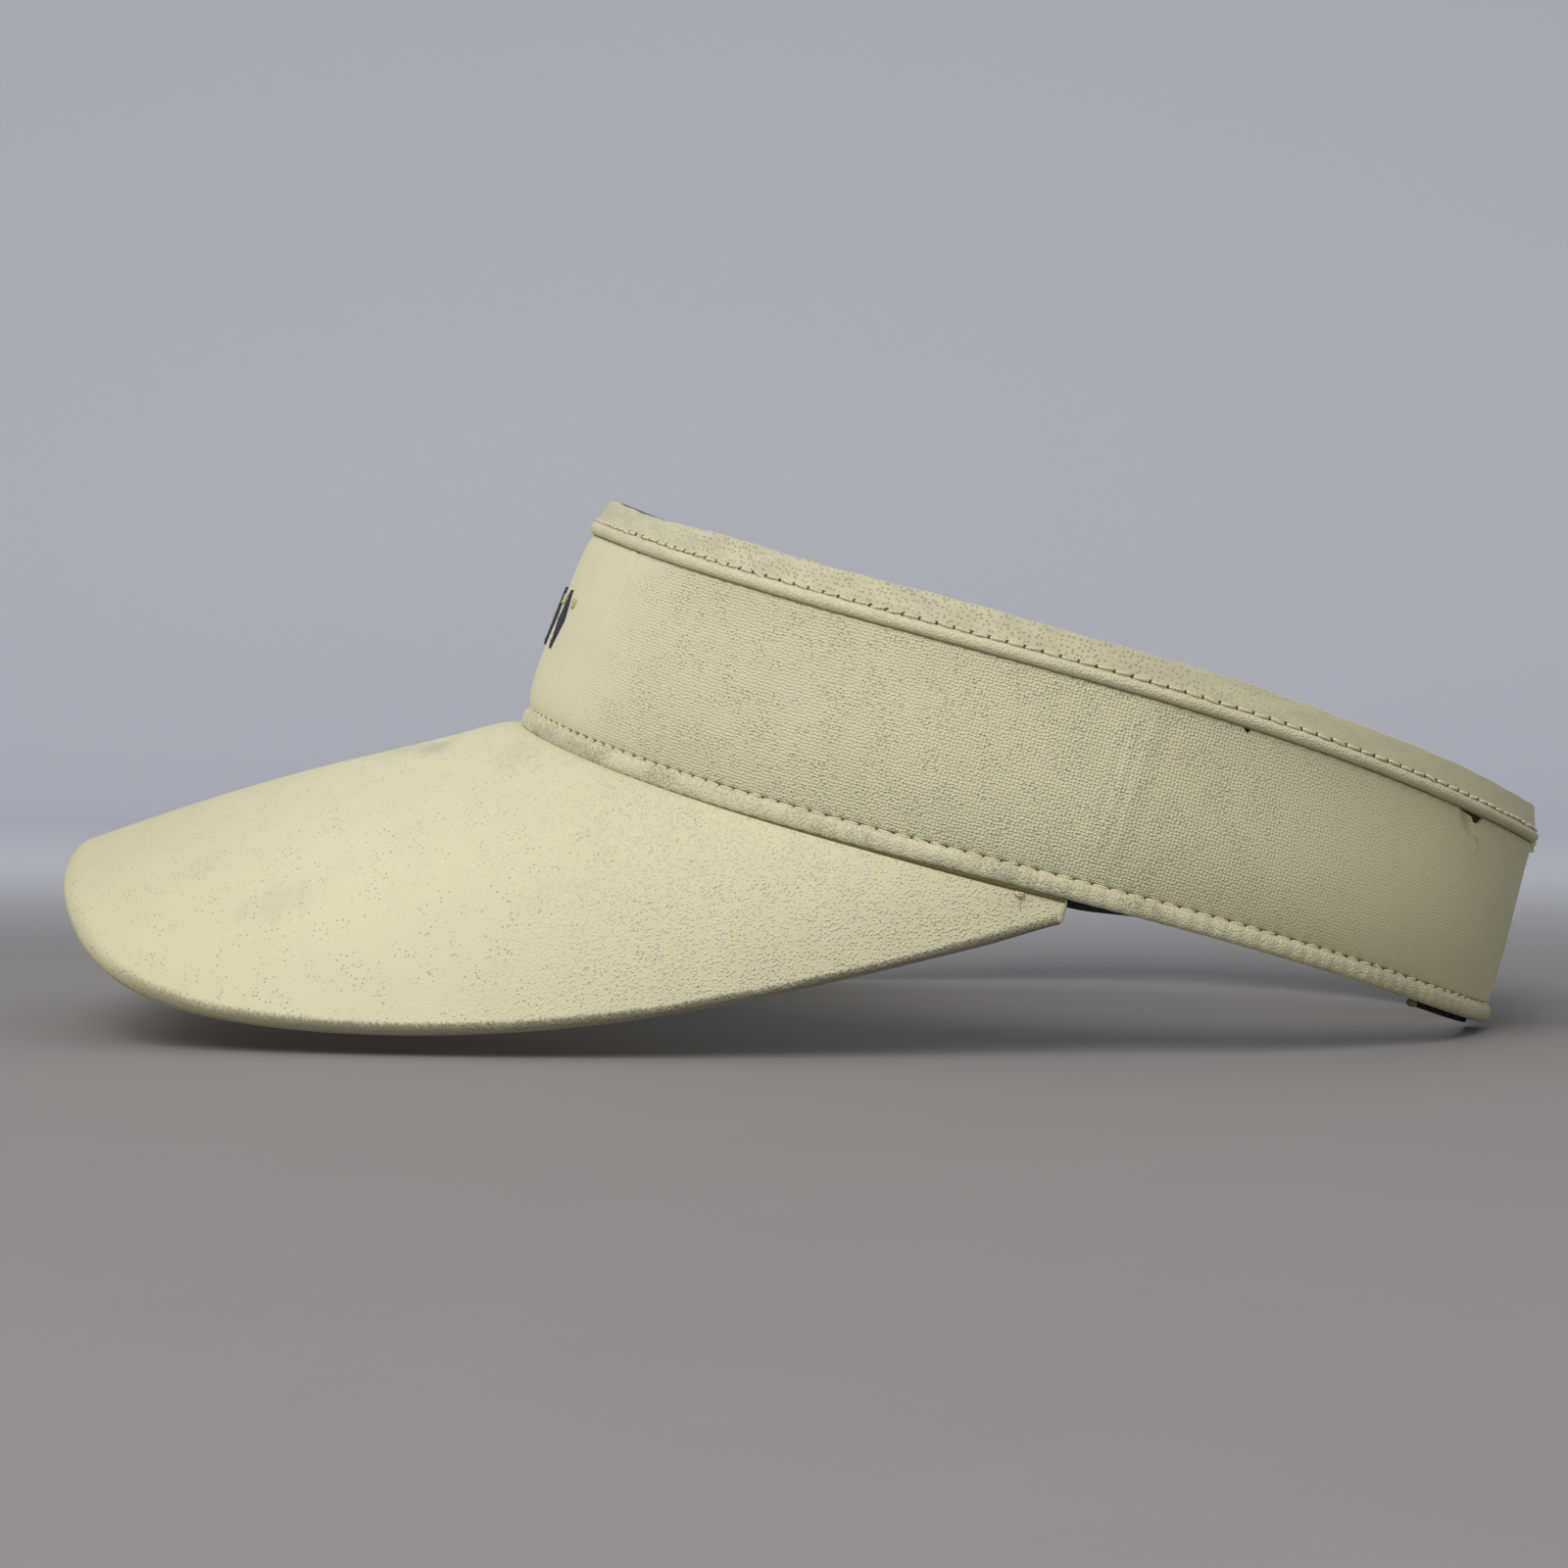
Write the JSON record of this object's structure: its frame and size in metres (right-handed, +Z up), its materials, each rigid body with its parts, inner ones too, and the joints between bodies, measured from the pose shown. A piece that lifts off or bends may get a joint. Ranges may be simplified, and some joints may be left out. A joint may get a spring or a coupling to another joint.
{
  "type": "sun visor",
  "caption": "Long-billed sports sun visor: open fabric head band, arched brim, raised piping, padded hem, dark sweatband and hook-and-loop back closure.",
  "frame": {"origin": "centre of the head opening, in the plane of the band's lower edge", "axes": "-Y the way the wearer faces, +X the wearer's left, +Z up; the band is pitched 16 degrees about X, front edge up, as worn"},
  "size_m": [0.1854, 0.3071, 0.1032],
  "materials": {
    "shell_fabric": "fine crepe weave, matte",
    "facing_mesh": "finely perforated knit, matte",
    "sweatband_fabric": "dark brushed knit",
    "foam": "soft open-cell foam",
    "buckram": "stiffened open weave",
    "board_plastic": "moulded sheet",
    "motif_thread": "satin stitch thread",
    "closure_tape": "hook and loop tape"
  },
  "bodies": {
    "front": {"brim_board": "board_plastic", "brim_foam": "foam", "brim_top_cover": "shell_fabric", "brim_under_cover": "shell_fabric", "band_panel_front": "shell_fabric", "facing_front": "facing_mesh", "piping_front": "shell_fabric", "hem_front": "shell_fabric", "band_core_front": "foam", "sweatband_front": "sweatband_fabric", "band_stiffener": "buckram", "forehead_pad": "foam", "front_embroidery": "motif_thread"},
    "left_side": {"band_panel_left": "shell_fabric", "facing_left": "facing_mesh", "piping_left": "shell_fabric", "hem_left": "shell_fabric", "band_core_left": "foam", "sweatband_left": "sweatband_fabric", "hook_tape": "closure_tape"},
    "right_side": {"band_panel_right": "shell_fabric", "facing_right": "facing_mesh", "piping_right": "shell_fabric", "hem_right": "shell_fabric", "band_core_right": "foam", "sweatband_right": "sweatband_fabric"},
    "tab": {"closure_tab": "shell_fabric", "loop_tape": "closure_tape"}
  },
  "joints": [
    {"name": "left_side_opening", "type": "hinge", "parent": "front", "child": "left_side", "pos_m": [0.08725, 0.03061, 0.01411], "axis": [0, -0.2756, -0.9613], "range_deg": [0, 30]},
    {"name": "right_side_opening", "type": "hinge", "parent": "front", "child": "right_side", "pos_m": [-0.08725, 0.03061, 0.01411], "axis": [0, 0.2756, 0.9613], "range_deg": [0, 30]},
    {"name": "closure_tab_peel", "type": "hinge", "parent": "right_side", "child": "tab", "pos_m": [-0.02055, 0.09959, -0.00567], "axis": [0, -0.2756, -0.9613], "range_deg": [0, 25]}
  ],
  "couplings": [
    {"joint": "right_side_opening", "follows": "left_side_opening", "ratio": 1}
  ]
}
